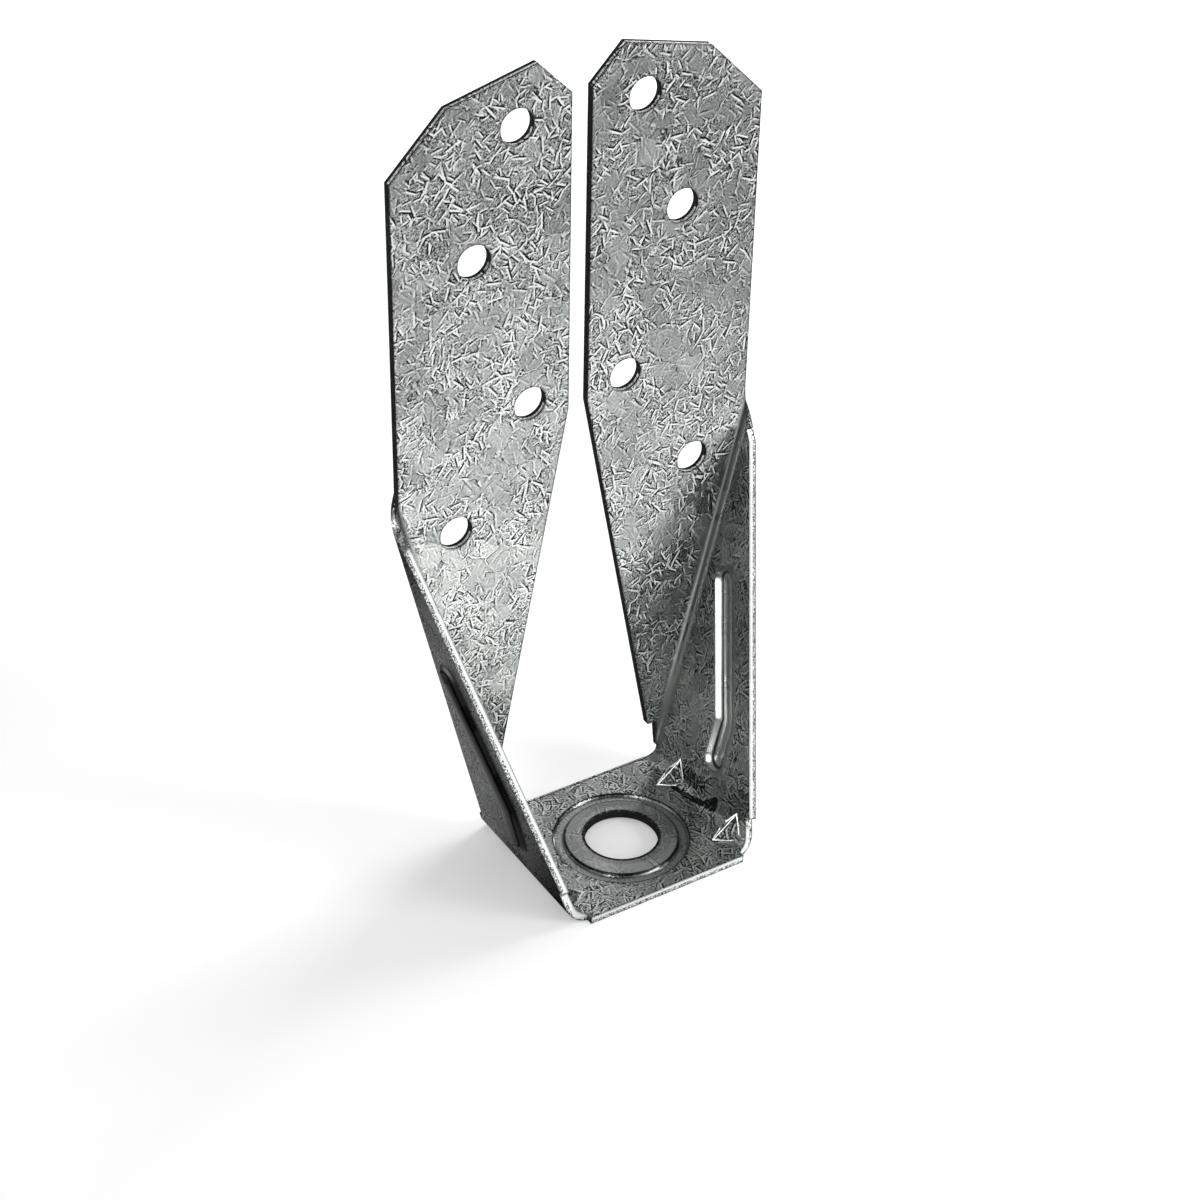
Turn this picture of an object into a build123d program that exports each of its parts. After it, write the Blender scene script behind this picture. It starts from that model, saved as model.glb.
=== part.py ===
# Deck tension tie, folded from one blank of galvanised sheet.
#
# The seat takes an anchor rod through its hole. Two walls rise from the seat and lean outward,
# and each wall's rear edge folds inward into a flange that lies flat on the timber.
#
# Millimetres, +Z up, +Y towards the timber. The origin is on the axis of the anchor hole,
# level with the seat's upper face.

import os
from math import cos, radians, sin, tan

from build123d import *

# Sheet and overall sizes
sheet = 1.8  # 14 gauge
overall_height = 176.0  # underside of the seat to the top of the flanges
flange_width = 82.55  # over the outer edges of both flanges
flare = 13.6  # each wall's lean from upright, in degrees

# Seat
seat_width = 42.66  # between the walls' inner faces, at the seat's upper face
seat_depth = 40.7  # wood face to the seat's front edge
seat_gap = 1.05  # wood face to the seat's back edge
seat_bend_radius = 2.6  # inside
anchor_setback = 22.0  # wood face to the axis of the anchor hole
anchor_hole = 16.0

# Pressed pad round the anchor hole
groove_outside = 29.7  # diameter of the pressed groove
groove_inside = 24.6
groove_depth = 0.7
riser_run = 0.45  # how far each side of the groove slopes
pad_rise = 0.62  # rim of the hole above the seat's upper face
pad_ledge = 0.12  # shoulder beside the groove above the seat's upper face
pad_crown = 19.4  # diameter where the pad's slope ends at its flat rim

# Walls
wall_height = 89.1  # underside of the seat to where the front edge's line meets the flange
flange_bend_radius = 1.8  # inside
fold_drop = 9.1  # fall of the front edge as it wraps round the fold, along the fold
fold_approach = 1.9  # where the front edge starts to turn towards the fold, before the bend
corner_recess = 1.4  # front edge set back where the sheet bends up from the seat
recess_height = 6.0  # top of that recess above the seat's upper face
heel_height = 9.4  # where the notch below the flange's foot enters the fold, along the fold
heel_foot = 3.2  # where that notch ends, along the fold
heel_turn = 30.0  # and how far round the fold, in degrees
tab_gap = 1.9  # wood face to the wall's rear edge below the fold

# Flanges
slot_width = 4.5  # between the two flanges
slot_foot = 100.3  # underside of the seat to the foot of that slot
slot_chamfer = 7.3
corner_drop = 16.9  # top of the flanges to the foot of the outer 45 degree corner
foot_height = 8.9  # foot of the flange, along the bend from the seat's upper face
foot_land = 3.9  # width left at the foot, measured from the wall
screw_hole = 7.3
upper_screws = [(28.2, 11.6), (47.2, 37.3)]  # apart, below the top
lower_screws = [(22.4, 104.0), (56.8, 79.0)]  # apart, above the underside

# Rib pressed outward along each wall
rib_width = 6.0
rib_depth = 1.5
rib_setback = 9.7  # behind the wall's front edge
rib_top = 49.7  # centre of its upper end above the underside
rib_foot = 13.2  # centre of its lower end above the underside
rib_foot_offset = 0.65  # its upright lower leg behind the anchor hole's axis
rib_turn = 6.0  # radius of the turn between its two legs

# Gusset darts across each seat bend
dart_leg = 4.9  # reach along the seat and up the wall from the corner
dart_spacing = 22.0
dart_half_width = 3.3
dent_half_width = 4.6  # of the same dart's dent on the outside
dart_root = 0.5  # how far the dart's root lies inside the sheet

# Places that follow from the sizes
wood_face = anchor_setback
flange_front = wood_face - sheet
underside = -sheet
top = underside + overall_height
half_width = flange_width / 2
seat_half = seat_width / 2
seat_front = wood_face - seat_depth
seat_back = wood_face - seat_gap
tab_back = wood_face - tab_gap
front_slope = (flange_front - seat_front) / wall_height
lean = radians(flare)
bend_turn = 90 - flare
bend_tangent = seat_bend_radius * tan(radians(bend_turn) / 2)
through = 3 * sheet  # reach of a cut that goes right through the sheet
beyond = 4 * overall_height  # side of a square that covers the whole tie

# The wall's inner face: x runs back from the flange's front face, y runs up the slope
wall_out = Vector(cos(lean), 0, -sin(lean))
wall_up = Vector(sin(lean), 0, cos(lean))
wall_foot = Vector(seat_half, flange_front, 0)
wall_plane = Plane(origin=wall_foot, x_dir=(0, 1, 0), z_dir=wall_out)

# Square to the fold between wall and flange: x runs outward from the wall's inner face
fold_plane = Plane(origin=wall_foot, x_dir=wall_out, z_dir=wall_up)


def front_edge(up_slope):
    """Place of the wall's front edge behind the flange's front face, at a distance up the slope."""
    height = up_slope * cos(lean) + sheet
    return seat_front - flange_front + front_slope * height


def slope_at(height):
    """Distance up the wall's slope for a height above the underside."""
    return (height - sheet) / cos(lean)


def bend_trim(axis, bend_radius, stops, reach):
    """Cutter for an edge that wraps round a bend.

    Each stop is an angle round the bend and the edge's place along its axis. The cutter's
    sections are radial, so the cut edge stays square to the sheet.
    """
    with BuildPart() as trim:
        for angle, place in stops:
            radial = axis.x_dir * cos(radians(angle)) + axis.y_dir * sin(radians(angle))
            section = Plane(origin=axis.origin, x_dir=radial, z_dir=radial.cross(axis.z_dir))
            low, high = sorted((place, reach))
            with BuildSketch(section):
                with Locations((bend_radius - sheet / 2, low)):
                    Rectangle(2 * sheet, high - low, align=(Align.MIN, Align.MIN))
        loft()
    return trim.part


def ramp(turn, start, end, steps=4):
    """Stops for an edge that moves evenly from start to end as it goes round a bend."""
    shares = [step / steps for step in range(steps + 1)]
    return [(turn * share, start + (end - start) * share) for share in shares]


# Wall, flat from the seat bend up to the flange bend
step_up = recess_height / cos(lean)
turn_back = -flange_bend_radius - fold_approach
turn_up = slope_at((turn_back + flange_front - seat_front) / front_slope)
fold_end = (half_width - seat_half + flange_bend_radius * cos(lean)) / sin(lean)
fold_start = fold_end - fold_drop
with BuildPart() as wall:
    with BuildSketch(wall_plane):
        Polygon(
            (front_edge(bend_tangent) + corner_recess, bend_tangent),
            (front_edge(step_up) + corner_recess, step_up),
            (front_edge(step_up), step_up),
            (turn_back, turn_up),
            (-flange_bend_radius, fold_start),
            (-flange_bend_radius, heel_foot),
            (tab_back - flange_front, heel_foot),
            (tab_back - flange_front, bend_tangent),
            align=None,
        )
    extrude(amount=sheet)

# Bend between seat and wall
seat_bend_axis = Plane(
    origin=(seat_half - bend_tangent, 0, seat_bend_radius), x_dir=(0, 0, -1), z_dir=(0, -1, 0)
)
with BuildPart() as seat_bend:
    with BuildSketch(seat_bend_axis.offset(-seat_back)):
        with BuildLine():
            inner = CenterArc((0, 0), seat_bend_radius, 0, bend_turn)
            outer = CenterArc((0, 0), seat_bend_radius + sheet, 0, bend_turn)
            Line(inner @ 0, outer @ 0)
            Line(inner @ 1, outer @ 1)
        make_face()
    extrude(amount=seat_back - seat_front)
    tab_stops = ramp(bend_turn, -seat_back, -tab_back)
    add(
        bend_trim(seat_bend_axis, seat_bend_radius, tab_stops, -seat_back - through),
        mode=Mode.SUBTRACT,
    )
    recess_stops = ramp(
        bend_turn,
        -seat_front - corner_recess,
        -flange_front - front_edge(bend_tangent) - corner_recess,
    )
    add(
        bend_trim(seat_bend_axis, seat_bend_radius, recess_stops, through - seat_front),
        mode=Mode.SUBTRACT,
    )

# Flange and the bend between it and the wall
flange_edge_foot = fold_end * cos(lean) + flange_bend_radius * sin(lean)
slot_half = slot_width / 2
slot_corner = slot_half + slot_chamfer
top_cut = top * cos(lean) + (slot_corner - seat_half) * sin(lean)
flange_reach = seat_half + overall_height * sin(lean)
foot_tip = wall_foot - wall_out * foot_land + wall_up * foot_height
heel = wall_foot - wall_out * flange_bend_radius + wall_up * heel_height
slot_bottom = underside + slot_foot
screw_places = [(apart / 2, top - drop) for apart, drop in upper_screws]
screw_places += [(apart / 2, underside + height) for apart, height in lower_screws]
fold_axis = Plane(
    origin=fold_plane.from_local_coords(Vector(-flange_bend_radius, -flange_bend_radius, 0)),
    x_dir=(0, 1, 0),
    z_dir=-wall_up,
)
with BuildPart() as flange:
    with BuildSketch(fold_plane.offset(heel_foot)):
        with BuildLine():
            inner = CenterArc((-flange_bend_radius, -flange_bend_radius), flange_bend_radius, 0, 90)
            outer = CenterArc(
                (-flange_bend_radius, -flange_bend_radius), flange_bend_radius + sheet, 0, 90
            )
            Line(inner @ 0, outer @ 0)
            Polyline(inner @ 1, (-flange_reach, 0), (-flange_reach, sheet), outer @ 1)
        make_face()
    extrude(amount=top_cut - heel_foot)
    with BuildSketch(Plane.XZ.offset(-flange_front)):
        Polygon(
            (slot_half, slot_bottom),
            (slot_half, top - slot_chamfer),
            (slot_corner + through, top + through),
            (half_width - corner_drop - through, top + through),
            (half_width, top - corner_drop),
            (half_width, flange_edge_foot),
            (half_width + through, flange_edge_foot),
            (half_width + through, underside),
            (heel.X, underside),
            (heel.X, heel.Z),
            (foot_tip.X, foot_tip.Z),
            align=None,
        )
    extrude(amount=through, both=True, mode=Mode.INTERSECT)
    fold_stops = ramp(90, -fold_end, -fold_start)
    add(
        bend_trim(fold_axis, flange_bend_radius, fold_stops, -fold_end - through),
        mode=Mode.SUBTRACT,
    )
    heel_stops = ramp(heel_turn, -heel_height, -heel_foot)
    add(bend_trim(fold_axis, flange_bend_radius, heel_stops, through), mode=Mode.SUBTRACT)
    with BuildSketch(Plane.XZ.offset(-flange_front)):
        with Locations(*screw_places):
            Circle(screw_hole / 2)
    extrude(amount=through, both=True, mode=Mode.SUBTRACT)

# Rib path on the wall's inner face, from its upper end to its foot
rib_groove = (rib_width**2 / 4 + rib_depth**2) / (2 * rib_depth)
rib_inset = rib_groove - rib_depth
leg_line = rib_foot_offset - flange_front
turn_slope = slope_at((leg_line - rib_setback - seat_front + flange_front) / front_slope)
rib_points = [
    (front_edge(slope_at(rib_top)) + rib_setback, slope_at(rib_top)),
    (leg_line, turn_slope),
    (leg_line, slope_at(rib_foot)),
]


def rib_bar(radius):
    """Round bar along the rib's path, with ball ends, set inward from the wall's inner face."""
    with BuildPart() as bar:
        with BuildLine(wall_plane.offset(-rib_inset)) as path:
            FilletPolyline(*rib_points, radius=rib_turn)
        with BuildSketch(Plane(origin=path.line @ 0, z_dir=path.line % 0)):
            Circle(radius)
        sweep()
        with Locations(path.line @ 0, path.line @ 1):
            Sphere(radius)
    return bar.part


# Dart: a web across the inside of the bend, and the same form pressed in from outside
def dart(depth, half_width):
    """Gusset dart level with the anchor hole, moved outward by depth."""
    middle = radians(bend_turn) / 2
    outward = Vector(sin(middle), 0, -cos(middle))
    shift = outward * depth
    on_seat = Vector(seat_half - dart_leg, 0, 0) + shift
    on_wall = Vector(seat_half, 0, 0) + wall_up * dart_leg + shift
    root = Vector(seat_half, 0, 0) + outward * dart_root + shift
    with BuildPart() as web:
        with BuildSketch(Plane.XZ):
            Polygon((on_seat.X, on_seat.Z), (root.X, root.Z), (on_wall.X, on_wall.Z), align=None)
        loft(
            [
                Vertex(root.X, -half_width, root.Z),
                web.pending_faces[0],
                Vertex(root.X, half_width, root.Z),
            ],
            ruled=True,
        )
    return web.part


# One side: wall, both bends, flange, rib and darts
with BuildPart() as side:
    add(wall.part)
    add(seat_bend.part)
    add(flange.part)
    with BuildPart(mode=Mode.PRIVATE) as ridge:
        add(rib_bar(rib_groove + sheet))
        with BuildSketch(wall_plane.offset(sheet / 2)):
            Rectangle(beyond, beyond)
        extrude(amount=through, mode=Mode.INTERSECT)
    add(ridge.part)
    add(rib_bar(rib_groove), mode=Mode.SUBTRACT)
    with Locations((0, -dart_spacing / 2, 0), (0, dart_spacing / 2, 0)):
        add(dart(0, dart_half_width))
        add(dart(sheet, dent_half_width), mode=Mode.SUBTRACT)

# Seat with its pressed pad, and both sides
with BuildPart() as deck_tie:
    with BuildSketch(Plane.XY.offset(underside)):
        with Locations((0, seat_front)):
            Rectangle(
                2 * (seat_half - bend_tangent),
                seat_back - seat_front,
                align=(Align.CENTER, Align.MIN),
            )
        Circle(groove_outside / 2, mode=Mode.SUBTRACT)
    extrude(amount=sheet)
    with BuildSketch(Plane.XZ):
        Polygon(
            (groove_outside / 2, 0),
            (groove_outside / 2 - riser_run, -groove_depth),
            (groove_inside / 2 + riser_run, -groove_depth),
            (groove_inside / 2, pad_ledge),
            (pad_crown / 2, pad_rise),
            (anchor_hole / 2, pad_rise),
            (anchor_hole / 2, pad_rise - sheet),
            (pad_crown / 2, pad_rise - sheet),
            (groove_inside / 2, underside),
            (groove_outside / 2, underside),
            align=None,
        )
    revolve(axis=Axis.Z)
    add(side.part)
    mirror(side.part, about=Plane.YZ)

deck_tie.part.label = "deck_tie"

os.makedirs("parts", exist_ok=True)
export_step(deck_tie.part, "parts/deck_tie.step")
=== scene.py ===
# Deck tension tie: hot-dip galvanised sheet, standing on its seat on a pale studio floor.

from functools import partial
from math import cos, pi, radians, sin

import bpy
from mathutils import Matrix, Vector


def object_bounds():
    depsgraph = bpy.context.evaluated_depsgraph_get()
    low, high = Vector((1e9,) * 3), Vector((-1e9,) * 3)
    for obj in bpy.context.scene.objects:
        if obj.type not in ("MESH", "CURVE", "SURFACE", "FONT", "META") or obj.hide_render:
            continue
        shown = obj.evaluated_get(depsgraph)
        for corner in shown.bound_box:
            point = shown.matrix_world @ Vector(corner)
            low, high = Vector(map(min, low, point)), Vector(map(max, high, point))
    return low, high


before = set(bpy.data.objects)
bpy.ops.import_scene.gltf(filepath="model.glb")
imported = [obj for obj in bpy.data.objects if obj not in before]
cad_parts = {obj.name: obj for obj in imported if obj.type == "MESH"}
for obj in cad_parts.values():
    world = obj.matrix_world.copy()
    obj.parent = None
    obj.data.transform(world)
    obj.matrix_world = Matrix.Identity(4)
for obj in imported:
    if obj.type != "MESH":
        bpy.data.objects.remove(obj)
cadBox = [list(corner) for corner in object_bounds()]
print("frame loaded:", sorted(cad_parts))

millimetres = 1000  # object space is in metres, the patterns are sized in millimetres
noiseMiddle = 0.5  # mean of a noise or of a cell's random colour
middleGrey = (noiseMiddle,) * 3


# sRGB hex to linear RGBA
def linear(hexText):
    channels = [int(hexText[i : i + 2], 16) / 255 for i in (1, 3, 5)]
    return [c / 12.92 if c <= 0.04045 else ((c + 0.055) / 1.055) ** 2.4 for c in channels] + [1.0]


# Adds a node with its settings and links. A node among the inputs stands for its first output in use.
def addNode(tree, kind, inputs=(), **settings):
    node = tree.nodes.new("ShaderNode" + kind)
    for name, value in settings.items():
        setattr(node, name, value)
    sockets = inputs.items() if isinstance(inputs, dict) else enumerate(inputs)
    for socket, value in sockets:
        if isinstance(value, bpy.types.Node):
            value = next(output for output in value.outputs if output.enabled)
        if isinstance(value, bpy.types.NodeSocket):
            tree.links.new(value, node.inputs[socket])
        else:
            node.inputs[socket].default_value = value
    return node


# A material with no nodes yet, and the function that adds a node to it
def emptyMaterial(name):
    material = bpy.data.materials.new(name)
    material.use_nodes = True
    material.node_tree.nodes.clear()
    return material, partial(addNode, material.node_tree)


def distanceFrom(add, value, middle):
    difference = add("Math", (value, middle), operation="SUBTRACT")
    return add("Math", (difference,), operation="ABSOLUTE")


def strokeShare(add, away, width):
    # 1 in the core of a drawn line, falling to 0 at its half width
    return add("MapRange", (away, 0.5 * width, width, 1.0, 0.0))


def lineDistance(add, place, line):
    # Distance to the straight line between two points
    start, end = (Vector(point) for point in line)
    run = end - start
    offset = add("VectorMath", (place, tuple(start)), operation="SUBTRACT")
    share = add("VectorMath", (offset, tuple(run / run.length_squared)), operation="DOT_PRODUCT")
    share = add("Math", (share, 0.0), operation="MAXIMUM")
    share = add("Math", (share, 1.0), operation="MINIMUM")
    along = add("VectorMath", {0: tuple(run), "Scale": share}, operation="SCALE")
    return add("VectorMath", (offset, along), operation="DISTANCE")


def axisDistance(add, x, y):
    # Distance from the anchor hole's axis
    square = add("Math", (y, y), operation="MULTIPLY")
    square = add("Math", (x, x, square), operation="MULTIPLY_ADD")
    return add("Math", (square,), operation="SQRT")


wallShape = {
    "seatHalf": 21.33,  # mm, half the seat's width, where a wall's inner face starts
    "lean": 13.6,  # degrees outward
}


def wallDepth(add, x, z):
    # How far outward a point is from the inner face of its leaning wall
    lean = radians(wallShape["lean"])
    sideways = add("Math", (x,), operation="ABSOLUTE")
    outward = add("Math", (sideways, wallShape["seatHalf"]), operation="SUBTRACT")
    level = add("Math", (outward, cos(lean)), operation="MULTIPLY")
    rise = add("Math", (z, sin(lean)), operation="MULTIPLY")
    return add("Math", (level, rise), operation="SUBTRACT")


# The shears leave the front edges with a smooth band inside and a torn, speckled one outside,
# and the punch leaves the flanges' edges and the walls of the holes dull. Their near-black tone is partly
# the darker cut steel and partly painted shade
cutEdge = {
    "seatFront": -18.7,  # mm, y of the front edge at the sheet's underside
    "underside": -1.8,
    "seatEdge": -15.0,  # mm, y before which every face to the front is cut
    "slope": 0.4366,  # y gained for each mm of height, up to the fold
    "edgeReach": (0.3, 0.5),  # mm from that line, over which the edge ends
    "facing": (-0.6, -0.5),  # y of the normal, over which a face stops facing the front
    "fold": 19.5,  # mm, y where the walls' front edges end
    "smoothTone": 1.7,
    "tornTone": 0.7,
    "tornDepth": (0.8, 1.0),  # mm below the inner face where the torn band starts
    "speck": 0.3,  # mm
    "speckTone": 9.0,
    "flangeFront": 20.25,  # mm, y just behind the flanges' front faces
    "flangeSide": 0.5,  # a normal's y below this is a flange's edge
    # darker cut steel on the flanges' edges, made near black by painted shade
    "flangeSteelAndShadeTone": 0.04,
    "stripe": (20.85, 0.3),  # mm, y and half width of the stripe of painted highlight in each hole's lower wall
    "stripeHighlightTone": 30.0,
    "holeReach": 8.3,  # mm from the anchor hole's axis
    "upright": 0.3,  # a normal's z below this is an upright wall
    # darker cut steel in the anchor hole's wall, made near black by painted shade
    "holeSteelAndShadeTone": 0.08,
    "matte": 0.85,  # share of the front edge that is dull, not mirroring
}


def cutEdgeTone(add, place, trueNormal, look):
    # How much of a point is front edge, and the tone that the edge has there
    x, y, z = add("SeparateXYZ", (place,)).outputs
    facing = add("SeparateXYZ", (trueNormal,)).outputs[1]
    height = add("Math", (z, look["underside"]), operation="SUBTRACT")
    line = add("Math", (height, look["slope"], look["seatFront"]), operation="MULTIPLY_ADD")
    nearLine = add("MapRange", (distanceFrom(add, y, line), *look["edgeReach"], 1.0, 0.0))
    nearSeat = add("Math", (y, look["seatEdge"]), operation="LESS_THAN")
    near = add("Math", (nearLine, nearSeat), operation="MAXIMUM")
    front = add("MapRange", (facing, *look["facing"], 1.0, 0.0))
    beforeFold = add("Math", (y, look["fold"]), operation="LESS_THAN")
    share = add("Math", (near, front), operation="MULTIPLY")
    share = add("Math", (share, beforeFold), operation="MULTIPLY")

    below = add("Math", (z, -1.0), operation="MULTIPLY")
    depth = add("Math", (wallDepth(add, x, z), below), operation="MAXIMUM")
    torn = add("MapRange", (depth, *look["tornDepth"], 0.0, 1.0))
    specks = add("TexNoise", {"Vector": place, "Scale": 1 / look["speck"]})
    specks = add("Math", (specks, noiseMiddle), operation="SUBTRACT")
    tornTone = add("Math", (specks, look["speckTone"], look["tornTone"]), operation="MULTIPLY_ADD")
    return share, add("Mix", {0: torn, 2: look["smoothTone"], 3: tornTone})


def punchedTone(add, place, trueNormal, look):
    # How much of a point is a flange's edge or a hole's wall, and its tone there: darker cut steel with
    # painted shade, and a stripe of painted highlight in the flange holes' lower walls
    x, y = add("SeparateXYZ", (place,)).outputs[:2]
    facing = add("SeparateXYZ", (trueNormal,)).outputs
    behind = add("Math", (y, look["flangeFront"]), operation="GREATER_THAN")
    turned = add("Math", (facing[1],), operation="ABSOLUTE")
    turned = add("Math", (turned, look["flangeSide"]), operation="LESS_THAN")
    flange = add("Math", (turned, behind), operation="MULTIPLY")
    tone = add("Math", (flange, look["flangeSteelAndShadeTone"] - 1, 1.0), operation="MULTIPLY_ADD")

    # Painted highlight: a bright stripe where a flange hole's lower wall faces up
    stripe = add("Math", (y, *look["stripe"]), operation="COMPARE")
    facingUp = add("Math", (facing[2], look["upright"]), operation="GREATER_THAN")
    stripe = add("Math", (stripe, facingUp), operation="MULTIPLY")
    stripe = add("Math", (stripe, flange), operation="MULTIPLY")
    highlightedStripe = add("Math", (stripe, look["stripeHighlightTone"], 1.0), operation="MULTIPLY_ADD")
    tone = add("Math", (tone, highlightedStripe), operation="MULTIPLY")

    within = add("Math", (axisDistance(add, x, y), look["holeReach"]), operation="LESS_THAN")
    upright = add("Math", (facing[2],), operation="ABSOLUTE")
    upright = add("Math", (upright, look["upright"]), operation="LESS_THAN")
    hole = add("Math", (upright, within), operation="MULTIPLY")
    holeSteelAndShadeTone = add("Math", (hole, look["holeSteelAndShadeTone"] - 1, 1.0), operation="MULTIPLY_ADD")
    tone = add("Math", (tone, holeSteelAndShadeTone), operation="MULTIPLY")
    return add("Math", (flange, hole), operation="MAXIMUM"), tone


# Painted highlight on the darts' ridges; painted shade on their sides, along the seat bend, at the wall's
# foot and in rings round the pad; the press leaves the pad, the ribs and the folds smoother than the
# sheet
pressMarks = {
    "dart": (  # mm, for one quarter of the tie: foot, top and both sides
        (16.43, 11.0, 0.0),
        (22.48, 11.0, 4.76),
        ((21.33, 7.7, 0.0), (21.33, 14.3, 0.0)),
    ),
    "ridgeWidth": 0.22,  # mm
    # painted highlight along the darts' ridges
    "ridgeHighlightTone": 1.1,
    "ridgeNormal": (-0.605, -0.549, 0.579),  # a rounded ridge turns to the light somewhere
    "ridgeTurn": 0.8,  # how far a ridge takes that normal
    "facetLean": (0.67, 0.15),  # y of the normal of the darts' sides, and how far it may differ
    "facetTop": 5.0,  # mm
    "facetPlace": (11.0, 3.5),  # mm, y of the darts and their half width
    # painted shade on the darts' sides
    "facetShadeTone": 0.5,
    "crease": ((19.0, 8.5, 0.0), (21.8, -3.8, 0.0)),  # mm, seen from above, the line of painted shade along the seat bend
    "creaseWidth": 0.75,
    "creaseShadeTone": 1.6,
    "shade": ((22.6, 2.5, 3.0), (22.6, 8.0, 3.0)),  # mm, painted shade on the foot of the wall between the darts
    "shadeWidth": 2.6,
    "shadeTone": 0.75,
    "rings": [(14.85, 0.22), (12.3, 0.26), (8.25, 0.45)],  # mm radius and half width of the rings of painted shade at the pad's steps and the hole's rim
    "ringShadeTone": 0.9,
    "ringTop": 4.0,  # mm, above which no ring or crease is drawn
    "padReach": 14.9,  # mm
    "padFade": 0.3,
    "padSmooth": 0.75,
    "padTone": 0.95,
    "rib": [(0.0, 12.4, 49.4), (0.0, 0.35, 20.9), (0.0, 0.35, 11.7)],  # mm, on the wall laid upright
    "ribStretch": 1.0289,  # from height to length along the leaning wall
    "ribReach": 3.9,  # mm
    "ribFade": 0.5,
    "ribLine": (2.1, 0.35),  # mm radius and half width of the painted shade line round the groove
    "ribShadeTone": 0.9,
    "ribHighlight": 0.95,  # extra tone of the painted highlight on the band behind the line
    "foldPlace": 19.2,  # mm, y at the middle of the hollow of the fold
    "foldDepth": -1.0,  # mm from the wall's inner face
    "foldReach": 1.25,
    "foldFade": 0.4,
    # painted shade in the hollow of the fold
    "foldShadeTone": 0.65,
}


def ribTone(add, place, look):
    # The rib is smoother than the sheet, with a painted shade line round its groove and a painted
    # highlight on the band behind it
    upright = add("VectorMath", (place, (0.0, 1.0, look["ribStretch"])), operation="MULTIPLY")
    top, turn, foot = look["rib"]
    upper = lineDistance(add, upright, (top, turn))
    lower = lineDistance(add, upright, (turn, foot))
    away = add("Math", (upper, lower), operation="MINIMUM")
    reach = look["ribReach"]
    share = add("MapRange", (away, reach - look["ribFade"], reach, 1.0, 0.0))
    radius, width = look["ribLine"]
    line = strokeShare(add, distanceFrom(add, away, radius), width)
    line = add("Math", (line, look["ribShadeTone"]), operation="MULTIPLY")
    run = Vector(top) - Vector(turn)
    backward = Vector((0.0, run.z, -run.y)).normalized()
    offset = add("VectorMath", (upright, turn), operation="SUBTRACT")
    behindUpper = add("VectorMath", (offset, tuple(backward)), operation="DOT_PRODUCT")
    behindLower = add("VectorMath", (offset, (0.0, 1.0, 0.0)), operation="DOT_PRODUCT")
    behind = add("Math", (behindUpper, behindLower), operation="MINIMUM")
    highlight = add("MapRange", (behind, radius, radius + width, 0.0, look["ribHighlight"]))
    tone = add("Math", (1.0, highlight), operation="ADD")
    return share, add("Math", (tone, line), operation="SUBTRACT")


def foldShare(add, place, look):
    # 1 in the hollow of the fold between wall and flange, which the bending smoothed; the hollow is
    # darkened as painted shade
    x, y, z = add("SeparateXYZ", (place,)).outputs
    reach = look["foldReach"]
    core = reach - look["foldFade"]
    across = distanceFrom(add, wallDepth(add, x, z), look["foldDepth"])
    across = add("MapRange", (across, core, reach, 1.0, 0.0))
    along = distanceFrom(add, y, look["foldPlace"])
    along = add("MapRange", (along, core, reach, 1.0, 0.0))
    return add("Math", (across, along), operation="MULTIPLY")


def padShare(add, place, look):
    # The pressed pad round the anchor hole hides most of the sheet's pattern
    x, y, z = add("SeparateXYZ", (place,)).outputs
    reach = look["padReach"]
    away = axisDistance(add, x, y)
    share = add("MapRange", (away, reach - look["padFade"], reach, look["padSmooth"], 0.0))
    low = add("Math", (z, look["ringTop"]), operation="LESS_THAN")
    return add("Math", (share, low), operation="MULTIPLY")


def facetShare(add, place, trueNormal, look):
    # The darts' sides are the only faces low beside the walls that lean to the front and back
    quarter = add("VectorMath", (place,), operation="ABSOLUTE")
    y, z = add("SeparateXYZ", (quarter,)).outputs[1:]
    turned = add("VectorMath", (trueNormal,), operation="ABSOLUTE")
    facing = add("SeparateXYZ", (turned,)).outputs[1]
    leaning = add("Math", (facing, *look["facetLean"]), operation="COMPARE")
    low = add("Math", (z, look["facetTop"]), operation="LESS_THAN")
    beside = add("Math", (y, *look["facetPlace"]), operation="COMPARE")
    share = add("Math", (low, beside), operation="MULTIPLY")
    return add("Math", (leaning, share), operation="MULTIPLY")


def pressTone(add, place, look):
    # How much of a point is a dart's ridge, and the tone that the painted highlight on the ridges and the
    # painted shade in the crease, at the wall's foot and in the rings add there
    x, y, z = add("SeparateXYZ", (place,)).outputs
    sideways = add("Math", (x,), operation="ABSOLUTE")
    low = add("Math", (z, look["ringTop"]), operation="LESS_THAN")
    quarter = add("VectorMath", (place,), operation="ABSOLUTE")
    foot, top, sides = look["dart"]
    ridge = 0.0
    for line in [(foot, top)] + [(end, side) for end in (foot, top) for side in sides]:
        stroke = strokeShare(add, lineDistance(add, quarter, line), look["ridgeWidth"])
        ridge = add("Math", (stroke, ridge), operation="MAXIMUM")

    above = add("CombineXYZ", (sideways, y))
    crease = strokeShare(add, lineDistance(add, above, look["crease"]), look["creaseWidth"])
    crease = add("Math", (crease, low), operation="MULTIPLY")
    crease = add("Math", (crease, look["creaseShadeTone"]), operation="MULTIPLY")
    folded = add("CombineXYZ", (sideways, y, z))
    shade = strokeShare(add, lineDistance(add, folded, look["shade"]), look["shadeWidth"])
    shade = add("Math", (shade, look["shadeTone"]), operation="MULTIPLY")
    dark = add("Math", (crease, shade), operation="MAXIMUM")

    away = axisDistance(add, x, y)
    ring = 0.0
    for radius, width in look["rings"]:
        stroke = strokeShare(add, distanceFrom(add, away, radius), width)
        ring = add("Math", (stroke, ring), operation="MAXIMUM")
    ring = add("Math", (ring, low), operation="MULTIPLY")
    ring = add("Math", (ring, look["ringShadeTone"]), operation="MULTIPLY")
    dark = add("Math", (dark, ring), operation="MAXIMUM")
    darkening = add("Math", (dark, -1.0), operation="MULTIPLY")
    return ridge, add("Math", (ridge, look["ridgeHighlightTone"], darkening), operation="MULTIPLY_ADD")


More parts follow.
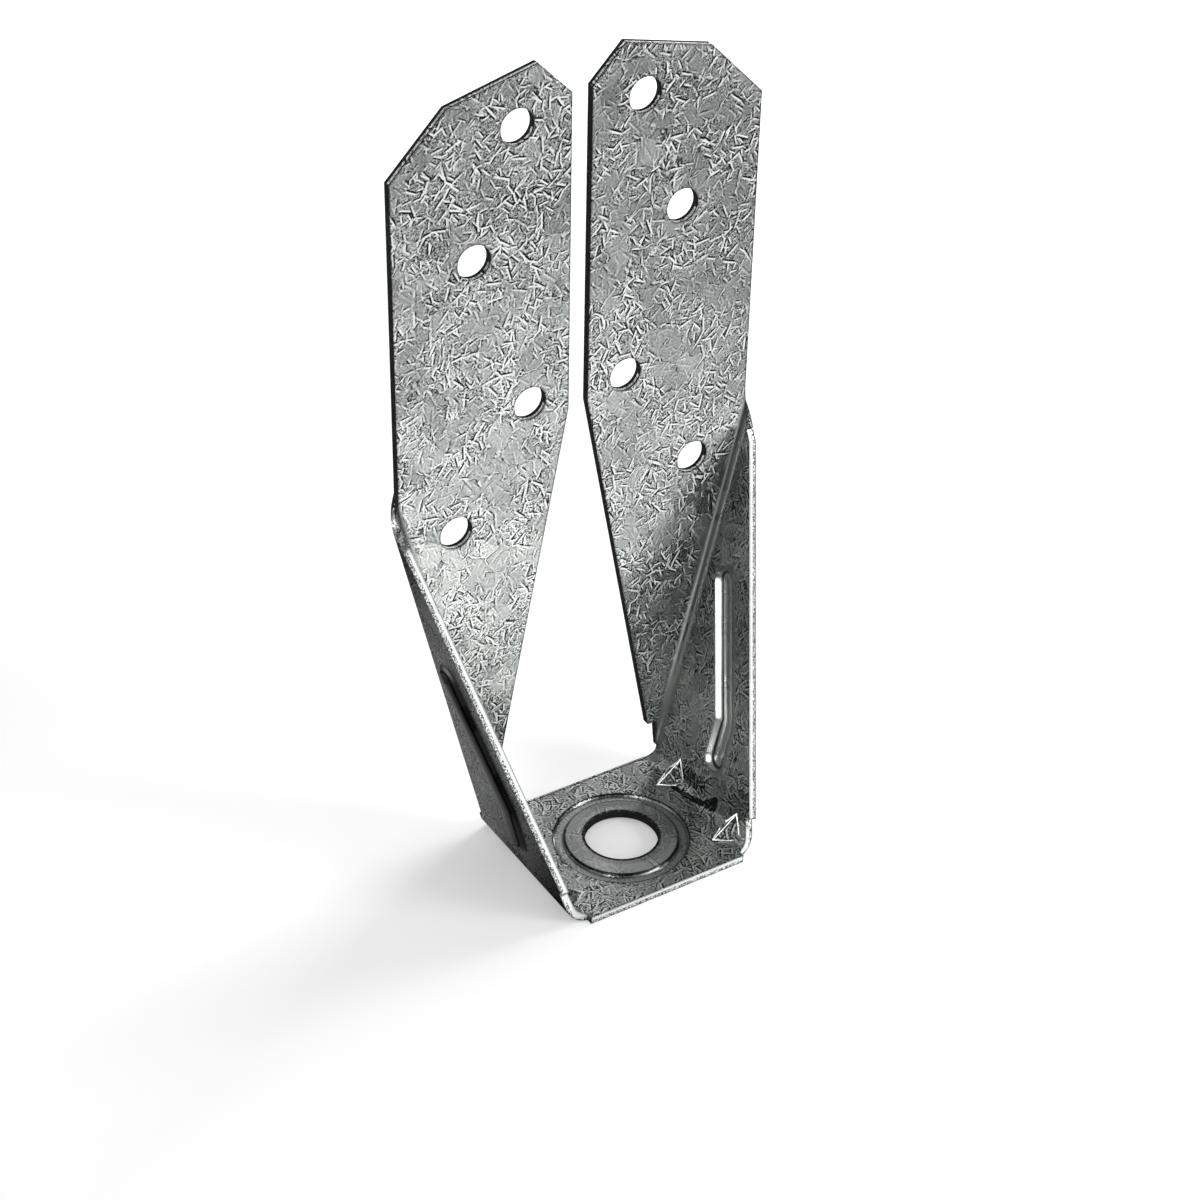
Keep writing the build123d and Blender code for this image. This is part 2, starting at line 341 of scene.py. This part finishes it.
# Hot-dip galvanised sheet. Zinc freezes in grains a few millimetres across: each is finely
# hatched in its own direction, some borders stand out as a bright line beside a dark one, and
# short needles and grit lie over them all.
galvanised = {
    "zinc": "#B9BCBA",
    "grainSize": 5.5,  # mm across one frozen grain
    "grainWander": 1.6,  # mm that a grain's border strays
    "wanderSize": 2.5,  # mm of the noise that moves the borders
    "grainTone": 0.2,  # each grain lighter or darker by up to this share
    "grainTilt": 0.045,
    "hatchPitch": 0.7,  # mm, coarser than the real hatching so that it shows
    "hatchTone": 0.09,
    "borderWidth": 0.16,  # mm
    "borderTone": 0.8,
    "borderShown": (0.48, 0.56),  # of the noise, over which a border comes into sight
    "borderDark": 1.8,  # border widths to the middle of the dark line
    "needles": [(3.5, 0.25), (2.6, 0.23), (1.9, 0.2)],  # mm cell, mm half width
    "needleShift": 37.0,  # mm that sets each layer of needles off the last
    "needleEnds": (0.4, 0.6),  # cells from the needle's middle, over which it ends
    "needleDrawn": 0.75,  # share of the cells that hold a needle
    "needleOutline": 1.6,  # half widths to the middle of the dark line beside it
    "needleBright": 1.9,
    "needleDark": 1.6,
    "needleMatte": 0.3,  # share of a flange's needle that is dull white, not mirroring
    "flangePlace": 20.0,  # mm, y behind which the sheet is flange
    "grit": 0.42,  # mm of the grit
    "gritTone": 6.5,
    "crowdSize": 6.0,  # mm across the patches where needles and grit crowd together
    "crowdNoise": (0.4, 0.58),  # of the noise, from sparse to crowded
    "crowdLeast": 0.2,
    "darkest": 0.04,
    "lightest": 1.95,
    "gloss": 0.5,  # specular level where the sheet isn't punched
    "roughness": 0.27,
    "roughnessSpread": 0.05,
    "edgeRadius": 0.00015,  # m
    "outline": 0.0008,  # m beside each sharp edge, darkened there as painted shade
    "outlineTurn": (0.9, 0.975),  # agreement of soft and true normal, from outlined to plain
    "outlineShadeTone": 0.03,
}


def frozenGrains(add, place, look):
    # Each grain's random colour, the tone of its hatching, and the two lines of its border
    wander = add("TexNoise", {"Vector": place, "Scale": 1 / look["wanderSize"], "Detail": 3.0})
    strayed = add("VectorMath", (wander.outputs["Color"], middleGrey), operation="SUBTRACT")
    strength = (2 * look["grainWander"],) * 3
    wandered = add("VectorMath", (strayed, strength, place), operation="MULTIPLY_ADD")
    grainScale = {"Vector": wandered, "Scale": 1 / look["grainSize"]}
    grains = add("TexVoronoi", grainScale).outputs["Color"]
    spread = look["grainTone"]
    tone = add("MapRange", (add("SeparateColor", (grains,)), 0.0, 1.0, 1 - spread, 1 + spread))

    heading = add("VectorMath", (grains, middleGrey), operation="SUBTRACT")
    heading = add("VectorMath", (heading,), operation="NORMALIZE")
    along = add("VectorMath", (place, heading), operation="DOT_PRODUCT")
    wave = add("Math", (along, 2 * pi / look["hatchPitch"]), operation="MULTIPLY")
    wave = add("Math", (wave,), operation="SINE")
    tone = add("Math", (wave, look["hatchTone"], tone), operation="MULTIPLY_ADD")

    # Borders show only where the noise that moves them is high
    border = add("TexVoronoi", grainScale, feature="DISTANCE_TO_EDGE")
    distance = add("Math", (border, look["grainSize"]), operation="MULTIPLY")
    width = look["borderWidth"]
    shown = add("MapRange", (wander, *look["borderShown"], 0.0, look["borderTone"]))
    bright = add("Math", (strokeShare(add, distance, width), shown), operation="MULTIPLY")
    away = distanceFrom(add, distance, look["borderDark"] * width)
    dark = add("Math", (strokeShare(add, away, width), shown), operation="MULTIPLY")
    return grains, tone, bright, dark


def needleStrokes(add, place, trueNormal, cell, halfWidth, look):
    # A straight stroke through the middle of a cell, lying in the sheet, and its dark outline
    cells = add("TexVoronoi", {"Vector": place, "Scale": 1 / cell}).outputs
    offset = add("VectorMath", (place, cells["Position"]), operation="SUBTRACT")
    facing = add("VectorMath", (cells["Color"], middleGrey), operation="SUBTRACT")
    facing = add("VectorMath", (facing, trueNormal), operation="CROSS_PRODUCT")
    facing = add("VectorMath", (facing,), operation="NORMALIZE")
    across = add("VectorMath", (offset, facing), operation="DOT_PRODUCT")
    inside = add("MapRange", (cells["Distance"], *look["needleEnds"], 1.0, 0.0))
    drawn = add("SeparateColor", (cells["Color"],))
    drawn = add("Math", (drawn, look["needleDrawn"]), operation="LESS_THAN")
    inside = add("Math", (inside, drawn), operation="MULTIPLY")
    strokes = []
    for middle in (0.0, look["needleOutline"] * halfWidth):
        stroke = strokeShare(add, distanceFrom(add, across, middle), halfWidth)
        strokes.append(add("Math", (stroke, inside), operation="MULTIPLY"))
    return strokes


def needlesAndGrit(add, place, trueNormal, bright, dark, look):
    # Lays needles and grit over the borders' bright and dark lines, crowded together in patches
    crowd = add("TexNoise", {"Vector": place, "Scale": 1 / look["crowdSize"], "Detail": 2.0})
    crowding = add("MapRange", (crowd, *look["crowdNoise"], look["crowdLeast"], 1.0))
    brightness = add("Math", (crowding, look["needleBright"]), operation="MULTIPLY")
    darkness = add("Math", (crowding, look["needleDark"]), operation="MULTIPLY")
    for layer, (cell, halfWidth) in enumerate(look["needles"]):
        shift = (layer * look["needleShift"],) * 3
        shifted = add("VectorMath", (place, shift), operation="ADD")
        lit, outline = needleStrokes(add, shifted, trueNormal, cell, halfWidth, look)
        lit = add("Math", (lit, brightness), operation="MULTIPLY")
        bright = add("Math", (bright, lit), operation="MAXIMUM")
        outline = add("Math", (outline, darkness), operation="MULTIPLY")
        dark = add("Math", (dark, outline), operation="MAXIMUM")

    grit = add("TexNoise", {"Vector": place, "Scale": 1 / look["grit"], "Detail": 2.0})
    grit = add("Math", (grit, noiseMiddle), operation="SUBTRACT")
    grittiness = add("Math", (crowding, look["gritTone"]), operation="MULTIPLY")
    grit = add("Math", (grit, grittiness), operation="MULTIPLY")
    relief = add("Math", (bright, grit), operation="ADD")
    return bright, add("Math", (relief, dark), operation="SUBTRACT")


def withinLimits(add, tone, look):
    tone = add("Math", (tone, look["darkest"]), operation="MAXIMUM")
    return add("Math", (tone, look["lightest"]), operation="MINIMUM")


def makeGalvanised(look):
    material, add = emptyMaterial("hotDipGalvanisedSheet")
    coords = add("TexCoord").outputs["Object"]
    place = add("VectorMath", (coords, (millimetres,) * 3), operation="MULTIPLY")
    trueNormal = add("NewGeometry").outputs["True Normal"]
    grains, tone, bright, dark = frozenGrains(add, place, look)
    bright, relief = needlesAndGrit(add, place, trueNormal, bright, dark, look)
    tone = add("Math", (tone, relief), operation="ADD")

    # Pad, ribs, darts, folds and front edges, each over the sheet's own pattern; the ribs carry painted
    # shade and highlight, the darts' sides and the folds' hollows painted shade
    pad = padShare(add, place, pressMarks)
    tone = add("Mix", {0: pad, 2: tone, 3: pressMarks["padTone"]})
    rib, ribbed = ribTone(add, place, pressMarks)
    tone = add("Mix", {0: rib, 2: tone, 3: ribbed})
    # Painted shade on the darts' sides
    facet = facetShare(add, place, trueNormal, pressMarks)
    facet = add("Math", (facet, pressMarks["facetShadeTone"]), operation="MULTIPLY")
    tone = add("Math", (tone, facet), operation="SUBTRACT")
    fold = foldShare(add, place, pressMarks)
    tone = add("Mix", {0: fold, 2: tone, 3: pressMarks["foldShadeTone"]})
    edge, edgeTone = cutEdgeTone(add, place, trueNormal, cutEdge)
    tone = add("Mix", {0: edge, 2: tone, 3: edgeTone})
    tone = withinLimits(add, tone, look)

    # Beside a sharp edge the softened normal turns away from the true one, and there the tone is darkened
    # as painted shade
    soft = add("Bevel", {"Radius": look["outline"]}, samples=4)
    agreed = add("VectorMath", (soft, trueNormal), operation="DOT_PRODUCT")
    edgeShade = add("MapRange", (agreed, *look["outlineTurn"], look["outlineShadeTone"], 1.0))
    punch, punched = punchedTone(add, place, trueNormal, cutEdge)
    tone = add("Math", (tone, punched), operation="MULTIPLY")
    tone = add("Math", (tone, edgeShade), operation="MULTIPLY")
    ridge, pressed = pressTone(add, place, pressMarks)
    tone = add("Math", (tone, pressed), operation="ADD")
    tone = withinLimits(add, tone, look)
    colour = add("VectorMath", {0: linear(look["zinc"])[:3], "Scale": tone}, operation="SCALE")

    # Needles on the flanges, front edges and punched walls are matte, the last without any gloss
    y = add("SeparateXYZ", (place,)).outputs[1]
    onFlange = add("Math", (y, look["flangePlace"]), operation="GREATER_THAN")
    onFlange = add("Math", (onFlange, look["needleMatte"]), operation="MULTIPLY")
    matte = add("Math", (bright, onFlange), operation="MULTIPLY")
    cut = add("Math", (edge, cutEdge["matte"], punch), operation="MULTIPLY_ADD")
    cut = add("Math", (cut, 1.0), operation="MINIMUM")
    matte = add("Math", (matte, cut), operation="MAXIMUM")
    metallic = add("Math", (1.0, matte), operation="SUBTRACT")
    gloss = add("Math", (punch, -look["gloss"], look["gloss"]), operation="MULTIPLY_ADD")
    green = add("SeparateColor", (grains,)).outputs[1]
    smoothest = look["roughness"] - look["roughnessSpread"]
    roughest = look["roughness"] + look["roughnessSpread"]
    roughness = add("MapRange", (green, 0.0, 1.0, smoothest, roughest))

    # Each grain lies at its own slight tilt, so grains catch the light one by one
    rounded = add("Bevel", {"Radius": look["edgeRadius"]}, samples=6)
    smoothed = add("Math", (pad, rib), operation="MAXIMUM")
    smoothed = add("Math", (fold, smoothed), operation="MAXIMUM")
    tilt = add("Math", (smoothed, -look["grainTilt"], look["grainTilt"]), operation="MULTIPLY_ADD")
    leaning = add("VectorMath", (grains, middleGrey), operation="SUBTRACT")
    leaning = add("VectorMath", {0: leaning, "Scale": tilt}, operation="SCALE")
    tilted = add("VectorMath", (leaning, rounded), operation="ADD")
    turn = add("Math", (ridge, pressMarks["ridgeTurn"]), operation="MULTIPLY")
    tilted = add("Mix", {0: turn, 4: tilted, 5: pressMarks["ridgeNormal"]}, data_type="VECTOR")
    shader = add(
        "BsdfPrincipled",
        {
            "Base Color": colour,
            "Metallic": metallic,
            "Roughness": roughness,
            "Specular IOR Level": gloss,
            "Normal": add("VectorMath", (tilted,), operation="NORMALIZE"),
        },
    )
    add("OutputMaterial", {"Surface": shader})
    return material


sheetMetal = makeGalvanised(galvanised)
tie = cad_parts["deck_tie"]
for slot in tie.material_slots:
    slot.material = sheetMetal
print("galvanised finish made")


# The camera has the photograph's viewing angle and framing, in the tie's own frame
cameraView = {
    "place": (-0.24695, -0.37250, 0.37806),  # m
    "turn": 32.81,  # degrees from +Y towards +X
    "down": 35.21,
    "roll": 1.23,
    "focal": 2691.5,  # pixels of an image of this width
    "imageWidth": 1200,
    "sensor": 36.0,  # mm
    "nearest": 0.01,  # m
}


def makeCamera(view):
    turn, down, roll = (radians(view[name]) for name in ("turn", "down", "roll"))
    forward = Vector((sin(turn) * cos(down), cos(turn) * cos(down), -sin(down)))
    right = forward.cross(Vector((0, 0, 1))).normalized()
    up = right.cross(forward)
    rolledRight = cos(roll) * right + sin(roll) * up
    rolledUp = cos(roll) * up - sin(roll) * right
    camera = bpy.data.objects.new("camera", bpy.data.cameras.new("camera"))
    bpy.context.collection.objects.link(camera)
    pose = Matrix((rolledRight, rolledUp, -forward)).transposed().to_4x4()
    pose.translation = Vector(view["place"])
    camera.matrix_world = pose
    camera.data.sensor_width = view["sensor"]
    camera.data.lens = view["focal"] / view["imageWidth"] * view["sensor"]
    camera.data.clip_start = view["nearest"]
    bpy.context.scene.camera = camera


makeCamera(cameraView)
print("camera made")


# Matte painted floor, pale grey and shown nearly white to the camera, which still takes the tie's
# shadow. The metal sees it as pools of painted light on a dark floor that turns pale far away.
studioFloor = {
    "colour": "#E6E6E6",
    "lift": 0.3,  # glow that brings the lit floor up to white
    "pools": [  # centre and radius in m, and brightness as the metal sees them
        ((0.03, -0.05, 0.0), 0.06, 1.17),
        ((0.08, -0.13, 0.0), 0.10, 0.64),
        ((0.13, -0.20, 0.0), 0.20, 0.44),
        ((0.0, -0.10, 0.0), 0.06, 0.62),
        ((0.14, 0.0, 0.0), 0.12, 0.46),
        ((-0.02, 0.055, 0.0), 0.07, 0.22),
        ((-0.25, 0.25, 0.0), 0.30, 0.1),
    ],
    "poolCore": 0.3,  # share of the radius that is evenly bright
    "far": (0.28, 0.6),  # m from the tie, over which the floor turns evenly pale
    "farMirrored": 0.55,
    "farLift": 0.5,
    "size": 6.0,  # m
}


def poolsOfLight(add, place, look):
    brightness = 0.0
    for centre, radius, middle in look["pools"]:
        away = add("VectorMath", (place, centre), operation="DISTANCE")
        fall = (away, look["poolCore"] * radius, radius, middle, 0.0)
        pool = add("MapRange", fall, interpolation_type="SMOOTHSTEP")
        brightness = add("Math", (pool, brightness), operation="ADD")
    return brightness


def paintFloor(look):
    material, add = emptyMaterial("paleStudioFloor")
    path = add("LightPath").outputs
    place = add("TexCoord").outputs["Object"]
    away = add("VectorMath", (place,), operation="LENGTH")
    far = add("MapRange", (away, *look["far"], 0.0, 1.0))
    pools = poolsOfLight(add, place, look)
    mirrored = add("Math", (far, look["farMirrored"], pools), operation="MULTIPLY_ADD")
    mirrored = add("Math", (mirrored, path["Is Glossy Ray"]), operation="MULTIPLY")
    seen = add("Math", (path["Is Camera Ray"], path["Is Transmission Ray"]), operation="MAXIMUM")
    lift = add("Math", (far, look["farLift"], look["lift"]), operation="MULTIPLY_ADD")
    glow = add("Math", (seen, lift, mirrored), operation="MULTIPLY_ADD")
    painted = add("Math", (1.0, path["Is Glossy Ray"]), operation="SUBTRACT")
    tone = add("VectorMath", {0: linear(look["colour"])[:3], "Scale": painted}, operation="SCALE")
    paint = add("BsdfDiffuse", {"Color": tone})
    light = add("Emission", {"Strength": glow})
    add("OutputMaterial", {"Surface": add("AddShader", (paint, light))})
    return material


def makeFloor(look, height):
    half = look["size"] / 2
    mesh = bpy.data.meshes.new("studioFloor")
    corners = [(-half, -half, height), (half, -half, height), (half, half, height), (-half, half, height)]
    mesh.from_pydata(corners, [], [(0, 1, 2, 3)])
    floor = bpy.data.objects.new("studioFloor", mesh)
    bpy.context.collection.objects.link(floor)
    floor.data.materials.append(paintFloor(look))


makeFloor(studioFloor, cadBox[0][2])
print("floor made")


# Soft boxes: place in m, size in m and power in watts
softBoxes = {
    "keyLight": ((0.60, -0.60, 0.45), 0.35, 3.6),
    "frontLight": ((0.38, -0.85, 0.12), 0.3, 2.4),
    "topLight": ((0.1, 0.1, 1.0), 0.7, 1.3),
    "sideLight": ((0.80, 0.20, 0.40), 0.5, 8.0),
    "leftLight": ((-0.70, -0.40, 0.50), 0.5, 2.2),
    "lowLight": ((-0.78, -0.60, 0.26), 0.3, 0.9),
    "backLight": ((0.55, 0.80, 0.85), 0.8, 0.4),
}
studioRoom = {
    "aim": (0.0, 0.0, 0.05),  # m, where every soft box points
    "colour": "#FFFFFF",
    "plain": 0.23,  # strength of the room's light
    "seen": 0.67,  # added where the camera sees the room
    "mirrored": 0.06,  # added where the metal mirrors it
}


def makeLights(boxes, room):
    aim = Vector(room["aim"])
    for name, (place, size, power) in boxes.items():
        lamp = bpy.data.lights.new(name, "AREA")
        lamp.shape = "SQUARE"
        lamp.size = size
        lamp.energy = power
        light = bpy.data.objects.new(name, lamp)
        bpy.context.collection.objects.link(light)
        light.location = place
        light.rotation_euler = (aim - Vector(place)).to_track_quat("-Z", "Y").to_euler()


def makeRoom(room):
    world = bpy.data.worlds.new("studioRoom")
    bpy.context.scene.world = world
    world.use_nodes = True
    world.node_tree.nodes.clear()
    add = partial(addNode, world.node_tree)
    path = add("LightPath").outputs
    seen = add("Math", (path["Is Camera Ray"], path["Is Transmission Ray"]), operation="MAXIMUM")
    strength = add("Math", (seen, room["seen"], room["plain"]), operation="MULTIPLY_ADD")
    glossy = (path["Is Glossy Ray"], room["mirrored"], strength)
    strength = add("Math", glossy, operation="MULTIPLY_ADD")
    backdrop = add("Background", {"Color": linear(room["colour"]), "Strength": strength})
    add("OutputWorld", {"Surface": backdrop})


makeLights(softBoxes, studioRoom)
makeRoom(studioRoom)
bpy.context.scene.view_settings.view_transform = "Standard"
print("lights and room made")
